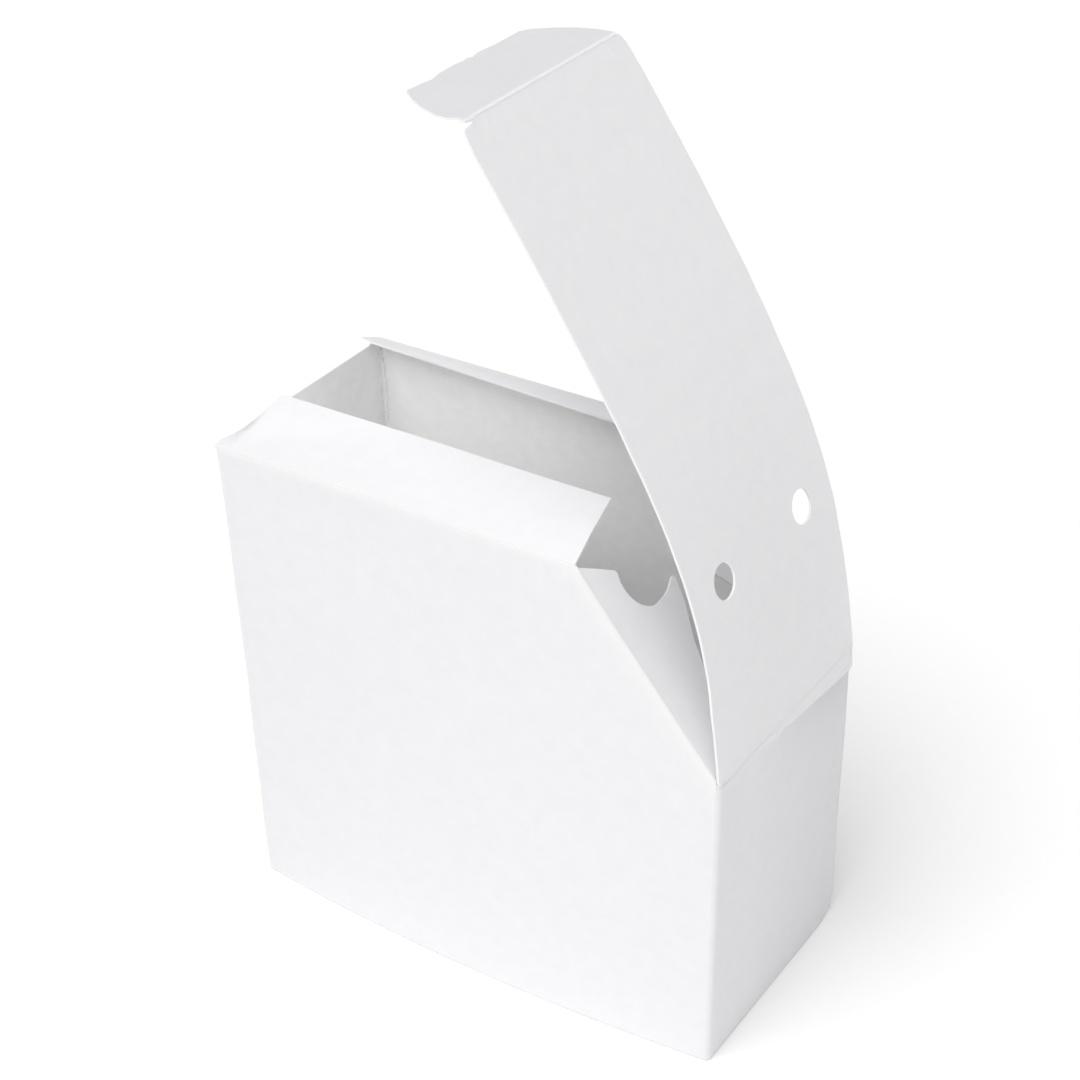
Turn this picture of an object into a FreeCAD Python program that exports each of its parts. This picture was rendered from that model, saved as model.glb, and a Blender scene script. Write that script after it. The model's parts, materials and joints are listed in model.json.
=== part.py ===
import FreeCAD, Part
import math
import os

# A takeout food box folded from one white boxboard blank, shown with its lid up.
# X runs along the broad front, from the tall end wall to the short end wall that
# carries the lid. Y runs from the front to the back and Z is up. The origin is on
# the ground under the middle of the box. All sizes are in millimetres and degrees.

# Box
BOARD = 0.7               # thickness of the board
BOX_WIDTH = 170.6         # over the two end walls
BOX_DEPTH = 80.0          # over the two broad panels, at the rim
TALL_HEIGHT = 164.6       # rim of the tall end wall
SHORT_HEIGHT = 104.4      # rim of the short end wall, where the lid starts
SLOPE_SETBACK = 45.6      # shoulder to the short end wall, measured along X
FLAP_DROP = 0.5           # the slope scores lie this much under the lid's score
BELLY = 4.6               # bow of each broad panel at the base, none at the rim
CORNER_RADIUS = 1.0       # outside of a scored corner
INNER_RADIUS = 0.3        # inside of a scored corner

# Bottom closure
OUTER_FLAP_REACH = 48.0   # front bottom flap, the one that the box stands on
INNER_FLAP_REACH = 58.0   # back bottom flap, lying on the front one
FLAP_END_GAP = 0.2        # bottom flap end to the outside of an end wall
GLUE_TAB_WIDTH = 14.0
GLUE_TAB_END_GAP = 4.0

# Flaps round the mouth
DUST_FLAP_LENGTH = 27.0
DUST_FLAP_RAISE = 12.0    # degrees above level
DUST_FLAP_CLEARANCE = 0.1 # root of the flap to the tall end wall
DUST_SHOULDER_LENGTH = 8.0
DUST_SHOULDER_INSET = 3.2
DUST_TIP_INSET = 4.2      # free edge, at the tall end wall
DUST_MITRE = 3.8          # free edge, at the shoulder
DUST_TIP_RADIUS = 1.2
BACK_FLAP_RAISE = 3.0     # degrees above level
BACK_FLAP_NARROW = 5.7    # length at the tall end wall
BACK_FLAP_WIDE = 11.6     # length at the shoulder
BACK_FLAP_EAR = 1.5       # tip that stands past the tall end wall
BACK_FLAP_MITRE = 7.0     # free edge, at the shoulder
BACK_TIP_RADIUS = 0.5
SLOPE_FLAP_MITRE = 8.5    # along the slope, at the notch
SLOPE_FLAP_ROOT = 12.0    # in from the broad panel, at the notch
SLOPE_FLAP_REACH = 31.0
SLOPE_FLAP_TIP = 29.5     # along the slope, where the free edge turns back
SLOPE_FLAP_TAPER = 13.0
SLOPE_FLAP_END_GAP = 1.85 # flap end to the foot of the slope
SLOPE_TIP_RADIUS = 1.5
NOTCH_RADIUS = 11.4
NOTCH_DISTANCE = 14.5     # centre of the thumb notch, down the slope
NOTCH_INSET = 21.2        # centre of the thumb notch, in from the broad panel
NOTCH_LIP_RADIUS = 1.2    # rounded lip between the flap's end and the notch

# Lid: one strip of board that bows as it stands up
SHOULDER_ALLOWANCE = 0.15 # the lid's bend lies this far past the shoulder
TUCK_SETBACK = 2.85       # closed, the tuck score stops short of the tall end wall
LID_START = 93.35         # heading at the score, degrees from +X
LID_SLOPE_TURN = 18.85     # turn of the heading up to the shoulder line
LID_BEND_LENGTH = 32.2    # bowed stretch past the shoulder line
LID_BEND_TURN = 9.65
HINGE_GAP = 0.3           # free space at each score that moves
VENT_RADIUS = 5.2
VENT_STEP = 6.0           # closed, each vent lies this far below a notch centre
VENT_SPACING = 45.3       # between the two vent holes
LID_FOOT_RADIUS = 2.5     # corners beside the lid's score
LID_END_RADIUS = 0.8      # corners beside the tuck score

# Tuck flap
TUCK_HEADING = 180.0      # level at rest
TUCK_LENGTH = 24.0
TUCK_SIDE_GAP = 2.4       # each side of the tuck flap to the side of the lid
TUCK_EDGE_HALF_WIDTH = 26.0
TUCK_SIDE_START = 2.0
TUCK_ROUND_MID = (14.6, 34.2)
SLIT_LENGTH = 7.5         # cut at each end of the tuck score
SLIT_WIDTH = 0.9

half_width = BOX_WIDTH / 2
half_depth = BOX_DEPTH / 2
half_board = BOARD / 2
shoulder_x = half_width - SLOPE_SETBACK
slope_rise = TALL_HEIGHT - SHORT_HEIGHT
slope_length = math.hypot(SLOPE_SETBACK, slope_rise)
down_slope = FreeCAD.Vector(SLOPE_SETBACK, 0, -slope_rise) / slope_length
into_box = FreeCAD.Vector(-slope_rise, 0, -SLOPE_SETBACK) / slope_length
hinge_step = half_board + HINGE_GAP
rim_length = half_width + shoulder_x
lid_shoulder = slope_length + SHOULDER_ALLOWANCE
lid_length = lid_shoulder + rim_length - TUCK_SETBACK
vent_distance = slope_length - NOTCH_DISTANCE - VENT_STEP
tuck_half_width = half_depth - TUCK_SIDE_GAP


def vector(x, y, z):
    return FreeCAD.Vector(x, y, z)


def polygon_face(points):
    return Part.Face(Part.makePolygon(points + points[:1]))


def rounded_face(corners):
    """Flat face through pairs of a corner point and the radius that rounds it."""
    runs = []
    for index, (point, radius) in enumerate(corners):
        before = (corners[index - 1][0] - point).normalize()
        after = (corners[(index + 1) % len(corners)][0] - point).normalize()
        half_angle = before.getAngle(after) / 2
        setback = radius / math.tan(half_angle)
        towards = (before + after).normalize()
        middle = point + towards * (radius / math.sin(half_angle) - radius)
        runs.append((point + before * setback, middle, point + after * setback, radius))
    edges = []
    for index, (start, middle, end, radius) in enumerate(runs):
        edges.append(Part.makeLine(runs[index - 1][2], start))
        if radius:
            edges.append(Part.Arc(start, middle, end).toShape())
    return Part.Face(Part.Wire(edges))


def block(low, high):
    size = high - low
    return Part.makeBox(size.x, size.y, size.z, low)


def fuse_all(shapes):
    whole = shapes[0].multiFuse(shapes[1:])
    return whole.removeSplitter()


def ring_wire(half_x, half_y, radius, belly, z):
    """Rounded rectangle at height z, its two broad sides bowed out by belly."""
    edges = []
    diagonal = radius * (1 - math.sqrt(0.5))
    for side in (-1, 1):
        start = vector(side * (half_x - radius), side * half_y, z)
        end = vector(-side * (half_x - radius), side * half_y, z)
        if belly:
            middle = vector(0, side * (half_y + belly), z)
            edges.append(Part.Arc(start, middle, end).toShape())
        else:
            edges.append(Part.makeLine(start, end))
        corner_end = vector(-side * half_x, side * (half_y - radius), z)
        corner = vector(-side * (half_x - diagonal), side * (half_y - diagonal), z)
        edges.append(Part.Arc(end, corner, corner_end).toShape())
        far = vector(-side * half_x, -side * (half_y - radius), z)
        edges.append(Part.makeLine(corner_end, far))
        turned = vector(-side * (half_x - diagonal), -side * (half_y - diagonal), z)
        next_start = vector(-side * (half_x - radius), -side * half_y, z)
        edges.append(Part.Arc(far, turned, next_start).toShape())
    return Part.Wire(edges)


def tube(inset, radius):
    """The solid inside a wall surface, from the ground to the rim."""
    bottom = ring_wire(half_width - inset, half_depth - inset, radius, BELLY, 0)
    top = ring_wire(half_width - inset, half_depth - inset, radius, 0, TALL_HEIGHT)
    return Part.makeLoft([bottom, top], True, True)


def wall_sleeve():
    """Four walls, with the broad panels cut to the slope and a low end wall."""
    walls = tube(0, CORNER_RADIUS).cut(tube(BOARD, INNER_RADIUS))
    shoulder = vector(shoulder_x, 0, TALL_HEIGHT) + into_box * FLAP_DROP
    top = 2 * TALL_HEIGHT
    beyond = 2 * half_width
    low_end = shoulder + down_slope * (2 * slope_length)
    outline = [shoulder - down_slope * slope_length, low_end,
               vector(beyond, 0, low_end.z), vector(beyond, 0, top)]
    for side in (-1, 1):
        face = polygon_face(outline)
        face.translate(vector(0, side * (half_depth + BELLY), 0))
        walls = walls.cut(face.extrude(vector(0, -side * (BELLY + BOARD), 0)))
    opening = block(vector(shoulder_x, BOARD - half_depth, SHORT_HEIGHT),
                    vector(beyond, half_depth - BOARD, top))
    walls = walls.cut(opening)
    front_top = block(vector(BOARD - half_width, -2 * half_depth, TALL_HEIGHT - BOARD),
                      vector(beyond, BOARD - half_depth, top))
    walls = walls.cut(front_top)
    for side in (-1, 1):
        inner = side * (half_width - 2 * BOARD)
        outer = side * beyond
        slot = block(vector(min(inner, outer), CORNER_RADIUS - half_depth, 0),
                     vector(max(inner, outer), half_depth - CORNER_RADIUS, BOARD))
        walls = walls.cut(slot)
    return walls


def bottom_flap(from_y, to_y, low):
    """One flap of the bottom closure: the footprint between two lines across it."""
    outline = ring_wire(half_width - FLAP_END_GAP, half_depth - half_board,
                        CORNER_RADIUS, BELLY, low)
    plate = Part.Face(outline).extrude(vector(0, 0, BOARD))
    keep = block(vector(-half_width, from_y, low), vector(half_width, to_y, low + BOARD))
    return plate.common(keep)


def is_lip(edge, centre):
    """Whether an edge runs through the board where the thumb notch ends."""
    if not isinstance(edge.Curve, Part.Line) or abs(edge.Length - BOARD) > 0.01:
        return False
    from_axis = (edge.CenterOfMass - centre).cross(into_box).Length
    return abs(from_axis - NOTCH_RADIUS) < 0.01


def slope_flap(side):
    """Flap folded in from a broad panel along the slope, with its thumb notch."""
    shoulder = vector(shoulder_x, 0, TALL_HEIGHT) + into_box * FLAP_DROP

    def place(distance, inward):
        return shoulder + down_slope * distance + vector(0, side * (half_depth - inward), 0)

    flap_end = slope_length - SLOPE_FLAP_END_GAP
    outline = [(place(FLAP_DROP, 0), 0),
               (place(SLOPE_FLAP_MITRE, SLOPE_FLAP_ROOT), 0),
               (place(NOTCH_DISTANCE + NOTCH_RADIUS / 2, SLOPE_FLAP_REACH), 0),
               (place(SLOPE_FLAP_TIP, SLOPE_FLAP_REACH), SLOPE_TIP_RADIUS),
               (place(flap_end, SLOPE_FLAP_TAPER), SLOPE_TIP_RADIUS),
               (place(flap_end, 0), 0)]
    plate = rounded_face(outline).extrude(into_box * BOARD)
    centre = place(NOTCH_DISTANCE, NOTCH_INSET) - into_box * BOARD
    notch = Part.makeCylinder(NOTCH_RADIUS, 3 * BOARD, centre, into_box)
    plate = plate.cut(notch)
    on_notch = [edge for edge in plate.Edges if is_lip(edge, centre)]
    nearest = min(on_notch, key=lambda edge: edge.CenterOfMass.distanceToPoint(shoulder
                  + vector(0, side * half_depth, 0)))
    return plate.makeFillet(NOTCH_LIP_RADIUS, [nearest])


def glue_tab():
    """The lap that closes the tube, glued to the inside of the short end wall."""
    inner = half_width - BOARD
    return block(vector(inner - BOARD, half_depth - BOARD - GLUE_TAB_WIDTH, GLUE_TAB_END_GAP),
                 vector(inner + half_board, half_depth - half_board,
                        SHORT_HEIGHT - GLUE_TAB_END_GAP))


def carton_body():
    outer_flap = bottom_flap(-2 * half_depth, OUTER_FLAP_REACH - half_depth, 0)
    inner_flap = bottom_flap(half_depth - INNER_FLAP_REACH, 2 * half_depth, BOARD)
    return fuse_all([wall_sleeve(), outer_flap, inner_flap, slope_flap(-1), slope_flap(1),
                     glue_tab()])


def front_dust_flap():
    """Flap hinged on the front rim, sprung a little above level."""
    end = rim_length
    start = BOARD + DUST_FLAP_CLEARANCE
    outline = [(vector(start, 0, 0), 0),
               (vector(DUST_SHOULDER_INSET, DUST_SHOULDER_LENGTH, 0), 0),
               (vector(DUST_TIP_INSET, DUST_FLAP_LENGTH, 0), DUST_TIP_RADIUS),
               (vector(end - DUST_MITRE, DUST_FLAP_LENGTH, 0), DUST_TIP_RADIUS / 4),
               (vector(end - FLAP_DROP, 0, 0), 0)]
    flap = rounded_face(outline).extrude(vector(0, 0, BOARD))
    flap.rotate(vector(0, 0, 0), vector(1, 0, 0), DUST_FLAP_RAISE)
    flap.translate(vector(-half_width, -half_depth, TALL_HEIGHT - BOARD))
    return flap


def back_dust_flap():
    """Narrow flap along the back rim, with an ear that laps over the tall end wall."""
    outline = [(vector(CORNER_RADIUS, 0, 0), 0),
               (vector(-BACK_FLAP_EAR, BOARD - BACK_FLAP_NARROW, 0), BACK_TIP_RADIUS),
               (vector(0, -BACK_FLAP_NARROW, 0), 0),
               (vector(rim_length - BACK_FLAP_MITRE, -BACK_FLAP_WIDE, 0), 0),
               (vector(rim_length, 0, 0), 0)]
    flap = rounded_face(outline).extrude(vector(0, 0, BOARD))
    flap.rotate(vector(0, 0, 0), vector(1, 0, 0), -BACK_FLAP_RAISE)
    flap.translate(vector(-half_width, half_depth, TALL_HEIGHT))
    return flap


def turn_at(heading):
    angle = math.radians(heading)
    return vector(math.cos(angle), 0, math.sin(angle))


def side_at(heading):
    return turn_at(heading + 90)


def advance(start, heading, turn, length):
    """End of a stretch of board that turns evenly from its heading."""
    if turn == 0:
        return start + turn_at(heading) * length
    radius = length / math.radians(turn)
    centre = start + side_at(heading) * radius
    return centre - side_at(heading + turn) * radius


def stretch_edge(start, heading, turn, length, offset):
    """One face of such a stretch, offset to its side."""
    points = []
    for share in (0, 0.5, 1):
        point = advance(start, heading, turn * share, length * share)
        points.append(point + side_at(heading + turn * share) * offset)
    if turn == 0:
        return Part.makeLine(points[0], points[2])
    return Part.Arc(points[0], points[1], points[2]).toShape()


def bowed_board(start, heading, stretches, half_span):
    """Board of even thickness through the stretches, with a round bead at its start."""
    left_side = []
    right_side = []
    bead = start - turn_at(heading) * half_board
    for turn, length in stretches:
        left_side.append(stretch_edge(start, heading, turn, length, half_board))
        right_side.append(stretch_edge(start, heading, turn, length, -half_board))
        start = advance(start, heading, turn, length)
        heading += turn
    first_left = left_side[0].Vertexes[0].Point
    first_right = right_side[0].Vertexes[0].Point
    last_left = start + side_at(heading) * half_board
    last_right = start - side_at(heading) * half_board
    edges = left_side + [Part.makeLine(last_left, last_right)] + right_side
    edges.append(Part.Arc(first_left, bead, first_right).toShape())
    section = Part.Face(Part.Wire(Part.__sortEdges__(edges)))
    section.translate(vector(0, -half_span, 0))
    return section.extrude(vector(0, 2 * half_span, 0))


lid_axis = vector(half_width - half_board, 0, SHORT_HEIGHT + hinge_step)
bend_heading = LID_START + LID_SLOPE_TURN
bend_axis = advance(lid_axis, LID_START, LID_SLOPE_TURN, lid_shoulder)
end_heading = bend_heading + LID_BEND_TURN
bow_end = advance(bend_axis, bend_heading, LID_BEND_TURN, LID_BEND_LENGTH)
lid_straight = lid_length - lid_shoulder - LID_BEND_LENGTH
tuck_axis = bow_end + turn_at(end_heading) * lid_straight


def corner_scrap(end, heading, radius, side):
    """What the die cuts away to round one corner at an end of the lid."""
    along = turn_at(heading)
    through = side_at(heading)

    def place(length, width):
        return end + along * length + vector(0, side * (half_depth + width), 0) - through * BOARD

    diagonal = radius * (1 - math.sqrt(0.5))
    arc = Part.Arc(place(0, -radius), place(diagonal, -diagonal), place(radius, 0)).toShape()
    outline = [place(radius, 0), place(radius, BOARD), place(-BOARD, BOARD),
               place(-BOARD, -radius), place(0, -radius)]
    lines = [Part.makeLine(a, b) for a, b in zip(outline, outline[1:])]
    return Part.Face(Part.Wire([arc] + lines)).extrude(through * (2 * BOARD))


def lid_slope_panel():
    """First part of the lid, up to the line that bends at the shoulder."""
    length = lid_shoulder - hinge_step
    turn = LID_SLOPE_TURN * length / lid_shoulder
    panel = bowed_board(lid_axis, LID_START, [(turn, length)], half_depth)
    foot = lid_axis - turn_at(LID_START) * half_board
    for side in (-1, 1):
        panel = panel.cut(corner_scrap(foot, LID_START, LID_FOOT_RADIUS, side))
    share = vent_distance / lid_shoulder
    middle = advance(lid_axis, LID_START, LID_SLOPE_TURN * share, vent_distance)
    through = side_at(LID_START + LID_SLOPE_TURN * share)
    for side in (-1, 1):
        start = middle - through * BOARD + vector(0, side * VENT_SPACING / 2, 0)
        panel = panel.cut(Part.makeCylinder(VENT_RADIUS, 2 * BOARD, start, through))
    return panel


def lid_top_panel():
    """Second part of the lid, up to the score of the tuck flap."""
    stretches = [(LID_BEND_TURN, LID_BEND_LENGTH), (0, lid_straight - hinge_step)]
    panel = bowed_board(bend_axis, bend_heading, stretches, half_depth)
    end = tuck_axis - turn_at(end_heading) * hinge_step
    for side in (-1, 1):
        panel = panel.cut(corner_scrap(end, end_heading + 180, LID_END_RADIUS, side))
    return panel


def tuck_flap():
    """Tongue with rounded corners, cut free of the lid at both ends of its score."""
    score_half = tuck_half_width - SLIT_LENGTH
    mid_length, mid_width = TUCK_ROUND_MID

    def place(length, width):
        return tuck_axis + turn_at(TUCK_HEADING) * length + vector(0, width, -half_board)

    def rounded_side(side):
        return Part.Arc(place(TUCK_SIDE_START, side * tuck_half_width),
                        place(mid_length, side * mid_width),
                        place(TUCK_LENGTH, side * TUCK_EDGE_HALF_WIDTH)).toShape()

    def straight(points):
        return [Part.makeLine(a, b) for a, b in zip(points, points[1:])]

    edges = straight([place(TUCK_SIDE_START, -tuck_half_width),
                      place(SLIT_WIDTH, -tuck_half_width), place(SLIT_WIDTH, -score_half),
                      place(0, -score_half), place(0, score_half),
                      place(SLIT_WIDTH, score_half), place(SLIT_WIDTH, tuck_half_width),
                      place(TUCK_SIDE_START, tuck_half_width)])
    edges.append(rounded_side(1))
    edges += straight([place(TUCK_LENGTH, TUCK_EDGE_HALF_WIDTH),
                       place(TUCK_LENGTH, -TUCK_EDGE_HALF_WIDTH)])
    edges.append(rounded_side(-1))
    plate = Part.Face(Part.Wire(Part.__sortEdges__(edges))).extrude(vector(0, 0, BOARD))
    bead = Part.makeCylinder(half_board, 2 * score_half,
                             tuck_axis - vector(0, score_half, 0), vector(0, 1, 0))
    return fuse_all([plate, bead])


pieces = {
    "carton_body": carton_body(),
    "front_dust_flap": front_dust_flap(),
    "back_dust_flap": back_dust_flap(),
    "lid_slope_panel": lid_slope_panel(),
    "lid_top_panel": lid_top_panel(),
    "tuck_flap": tuck_flap(),
}

os.makedirs("parts", exist_ok=True)
for name, shape in pieces.items():
    shape.exportStep("parts/" + name + ".step")
    print(name, shape.ShapeType, len(shape.Solids), "solid(s)", round(shape.Volume, 1), "mm3",
          "valid" if shape.isValid() else "not valid")
for name, axis in (("lid", lid_axis), ("bend", bend_axis), ("tuck", tuck_axis)):
    print(name, "axis at x", round(axis.x, 2), "z", round(axis.z, 2))
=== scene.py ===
import json
import math
import random
import bpy
from mathutils import Matrix, Vector, geometry, noise


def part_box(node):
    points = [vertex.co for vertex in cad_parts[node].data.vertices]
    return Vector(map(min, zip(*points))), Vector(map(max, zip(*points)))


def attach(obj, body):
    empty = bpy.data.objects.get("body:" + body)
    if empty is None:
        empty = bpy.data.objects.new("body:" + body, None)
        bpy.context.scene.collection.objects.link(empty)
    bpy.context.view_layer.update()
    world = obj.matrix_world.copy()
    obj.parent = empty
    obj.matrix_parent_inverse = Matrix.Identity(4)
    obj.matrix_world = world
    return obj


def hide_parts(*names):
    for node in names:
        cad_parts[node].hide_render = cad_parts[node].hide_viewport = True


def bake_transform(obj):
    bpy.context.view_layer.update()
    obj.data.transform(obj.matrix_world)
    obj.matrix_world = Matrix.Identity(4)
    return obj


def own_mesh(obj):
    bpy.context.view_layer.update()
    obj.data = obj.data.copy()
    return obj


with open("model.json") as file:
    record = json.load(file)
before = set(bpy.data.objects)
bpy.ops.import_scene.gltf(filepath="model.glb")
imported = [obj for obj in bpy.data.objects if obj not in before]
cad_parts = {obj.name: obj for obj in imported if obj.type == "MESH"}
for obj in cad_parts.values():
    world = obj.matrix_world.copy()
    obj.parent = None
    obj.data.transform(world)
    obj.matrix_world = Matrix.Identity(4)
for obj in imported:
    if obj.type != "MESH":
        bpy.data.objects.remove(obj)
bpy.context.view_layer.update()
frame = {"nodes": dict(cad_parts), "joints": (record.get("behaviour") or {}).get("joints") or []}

# Walls
# The four walls are one band of white clay-coated boxboard, creased at the corners and
# glued to itself inside the short end wall. The broad front and back panels slope down to
# the short wall and belly out at the base, where the bottom flaps push against them.
MM = 0.001
BOARD = 0.7
wall_low, wall_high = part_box("carton_body")
half_width = wall_high.x / MM
half_depth = 40.0
rim = wall_high.z / MM
belly = wall_high.y / MM - half_depth
lid_joint, bend_joint, tuck_joint = [Vector(joint["pos_m"]) / MM for joint in frame["joints"]]
short_rim = lid_joint.z - BOARD / 2 - 0.3
SLOPE_SETBACK = 45.6
CORNER_ROUND = 1.7
shoulder_x = half_width - SLOPE_SETBACK
slope_length = math.hypot(SLOPE_SETBACK, rim - short_rim)
COATED_HEX, COATED_MOTTLE_HEX = "F7F7F9", "F5F5F8"
LINING_HEX, LINING_MOTTLE_HEX = "FDFDFD", "F7F7F8"
PULP_HEX = "FEFEFD"
# White that creases are mixed towards: a painted highlight on the rounded folds, partly real wear.
HIGHLIGHT_AND_WEAR_HEX = "FFFFFF"
# Grey that places in shade are mixed towards: painted shade.
PAINTED_SHADE_HEX = "B9BABC"
FIBRE_MM = 0.9
FLOC_MM = 5.0
PULP_MM = 0.35
COCKLE_MM = 38.0
COCKLE_DEEP_MM = 0.07
SHOW_THROUGH = 0.3
SHOW_THROUGH_MM = 1.6


def linear(hex_colour):
    """An sRGB hex colour as the linear values that a shader socket takes."""
    parts = [int(hex_colour[i:i + 2], 16) / 255 for i in (0, 2, 4)]
    return [p / 12.92 if p <= 0.04045 else ((p + 0.055) / 1.055) ** 2.4 for p in parts] + [1.0]


def add_node(tree, kind, settings, links=()):
    """Adds a shader node, sets its sockets or properties, and links other sockets to it."""
    made = tree.nodes.new(kind)
    for key, value in settings.items():
        if isinstance(key, int) or key in made.inputs:
            made.inputs[key].default_value = value
        else:
            setattr(made, key, value)
    for key, source in dict(links).items():
        tree.links.new(source, made.inputs[key])
    return made


def board_material(name, base_hex, mottle_hex, roughness, tooth_mm):
    """White boxboard. The eye gets a soft white with clouds of flocs, a slow cockle that bends the
    light, a fine fibre tooth, creases painted paler as a highlight and partly as wear, and places
    painted greyer as shade. The fibres are drawn 0.9 mm wide, several times the real ones, because
    those are too fine to show. A thin board lets a little light through, so it scatters some below its
    surface."""
    material = bpy.data.materials.new(name)
    material.use_nodes = True
    tree = material.node_tree
    shader = tree.nodes["Principled BSDF"]
    place = add_node(tree, "ShaderNodeTexCoord", {}).outputs["Object"]
    floc = add_node(tree, "ShaderNodeTexNoise", {"Scale": 1 / (FLOC_MM * MM), "Detail": 4.0},
                    {"Vector": place})
    fibre = add_node(tree, "ShaderNodeTexNoise", {"Scale": 1 / (FIBRE_MM * MM), "Detail": 6.0,
                                                  "Distortion": 1.2}, {"Vector": place})
    cockle = add_node(tree, "ShaderNodeTexNoise", {"Scale": 1 / (COCKLE_MM * MM), "Detail": 2.0},
                      {"Vector": place})
    clouds = add_node(tree, "ShaderNodeMapRange", {"From Min": 0.35, "From Max": 0.65},
                      {"Value": floc.outputs["Fac"]})
    body = add_node(tree, "ShaderNodeMix", {"data_type": "RGBA", 6: linear(base_hex),
                                            7: linear(mottle_hex)}, {0: clouds.outputs[0]})
    # This attribute mixes the colour towards white: a painted highlight along the folds, partly real wear.
    crease = add_node(tree, "ShaderNodeAttribute", {"attribute_name": "crease"})
    broken_line = add_node(tree, "ShaderNodeMath", {"operation": "MULTIPLY"},
                           {0: crease.outputs["Fac"], 1: fibre.outputs["Fac"]})
    highlight_and_wear_colour = add_node(tree, "ShaderNodeMix", {"data_type": "RGBA", 7: linear(HIGHLIGHT_AND_WEAR_HEX)},
                      {0: broken_line.outputs[0], 6: body.outputs[2]})
    # This attribute mixes the colour towards grey: painted shade.
    painted_shade = add_node(tree, "ShaderNodeAttribute", {"attribute_name": "painted_shade"})
    shade_painted_colour = add_node(tree, "ShaderNodeMix", {"data_type": "RGBA", 7: linear(PAINTED_SHADE_HEX)},
                          {0: painted_shade.outputs["Fac"], 6: highlight_and_wear_colour.outputs[2]})
    tree.links.new(shade_painted_colour.outputs[2], shader.inputs["Base Color"])
    gloss = add_node(tree, "ShaderNodeMapRange", {"From Min": 0.3, "From Max": 0.7,
                                                  "To Min": roughness - 0.06,
                                                  "To Max": roughness + 0.08},
                     {"Value": fibre.outputs["Fac"]})
    tree.links.new(gloss.outputs[0], shader.inputs["Roughness"])
    swell = add_node(tree, "ShaderNodeBump", {"Strength": 1.0, "Distance": COCKLE_DEEP_MM * MM},
                     {"Height": cockle.outputs["Fac"]})
    tooth = add_node(tree, "ShaderNodeBump", {"Strength": 1.0, "Distance": tooth_mm * MM},
                     {"Height": fibre.outputs["Fac"], "Normal": swell.outputs[0]})
    tree.links.new(tooth.outputs[0], shader.inputs["Normal"])
    shader.inputs["IOR"].default_value = 1.5
    shader.inputs["Specular IOR Level"].default_value = 0.35
    shader.inputs["Subsurface Weight"].default_value = SHOW_THROUGH
    shader.inputs["Subsurface Radius"].default_value = (1.0, 1.0, 1.0)
    shader.inputs["Subsurface Scale"].default_value = SHOW_THROUGH_MM * MM
    return material


def cut_edge_material():
    """Bare pulp, where the die cut or the board cracked. The eye gets a chalky white line that
    is a little ragged, because the loose plies scatter all light and show no gloss."""
    material = bpy.data.materials.new("bare pulp cut edge")
    material.use_nodes = True
    tree = material.node_tree
    shader = tree.nodes["Principled BSDF"]
    place = add_node(tree, "ShaderNodeTexCoord", {}).outputs["Object"]
    pulp = add_node(tree, "ShaderNodeTexNoise", {"Scale": 1 / (PULP_MM * MM), "Detail": 5.0},
                    {"Vector": place})
    colour = add_node(tree, "ShaderNodeMix", {"data_type": "RGBA", 6: linear(PULP_HEX),
                                              7: linear(LINING_MOTTLE_HEX)},
                      {0: pulp.outputs["Fac"]})
    tree.links.new(colour.outputs[2], shader.inputs["Base Color"])
    plies = add_node(tree, "ShaderNodeBump", {"Strength": 1.0, "Distance": 0.05 * MM},
                     {"Height": pulp.outputs["Fac"]})
    tree.links.new(plies.outputs[0], shader.inputs["Normal"])
    shader.inputs["Roughness"].default_value = 0.92
    shader.inputs["Specular IOR Level"].default_value = 0.2
    return material


# The coated face is smooth and half matt. The uncoated lining is duller, with a deeper tooth.
coated = board_material("clay-coated boxboard face", COATED_HEX, COATED_MOTTLE_HEX, 0.5, 0.012)
lining = board_material("uncoated boxboard lining", LINING_HEX, LINING_MOTTLE_HEX, 0.8, 0.03)
cut_edge = cut_edge_material()
for cad_node in frame["nodes"].values():
    cad_node.data.materials.clear()
    cad_node.data.materials.append(coated)


SLIVER = 0.004
SHARP_DEGREES = 40


def board_piece(name, points, faces, highlights_and_wear, painted_shades):
    """A sheet drawn by its coated face in mm, thickened inward to the board with a bare cut edge.
    Two lists say how much each point is painted paler, as highlight and partly wear, and greyer, as shade,
    from 0 to 1."""
    points = [Vector(p) for p in points]
    normals = [Vector() for p in points]
    outer = []
    for face in faces:
        first = points[face[0]]
        area = Vector()
        for a, b in zip(face[1:], face[2:]):
            area += (points[a] - first).cross(points[b] - first)
        if area.length > SLIVER:
            outer.append(tuple(face))
            for k in face:
                normals[k] += area
    count = len(points)
    lined = [p - n.normalized() * BOARD for p, n in zip(points, normals)]
    sides = {(a, b) for face in outer for a, b in zip(face, face[1:] + face[:1])}
    cut_faces = [(b, a, a + count, b + count) for a, b in sorted(sides) if (b, a) not in sides]
    inner = [tuple(k + count for k in reversed(face)) for face in outer]
    mesh = bpy.data.meshes.new(name)
    mesh.from_pydata([p * MM for p in points + lined], [], outer + inner + cut_faces)
    for material in (coated, lining, cut_edge):
        mesh.materials.append(material)
    kinds = [0] * len(outer) + [1] * len(inner) + [2] * len(cut_faces)
    mesh.polygons.foreach_set("material_index", kinds)
    # The first attribute paints highlights, partly wear; the second paints shade.
    for attribute, values in (("crease", highlights_and_wear), ("painted_shade", painted_shades)):
        made = mesh.attributes.new(attribute, "FLOAT", "POINT")
        made.data.foreach_set("value", [min(1.0, value) for value in values] * 2)
    mesh.shade_smooth()
    mesh.set_sharp_from_angle(angle=math.radians(SHARP_DEGREES))
    piece = bpy.data.objects.new(name, mesh)
    bpy.context.collection.objects.link(piece)
    return piece


def wave(x, y, size, seed):
    """A smooth uneven height between about -1 and 1, with swells of the given size in mm."""
    return 1.5 * noise.noise(Vector((x / size, y / size, seed)), noise_basis="PERLIN_NEW")


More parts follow.
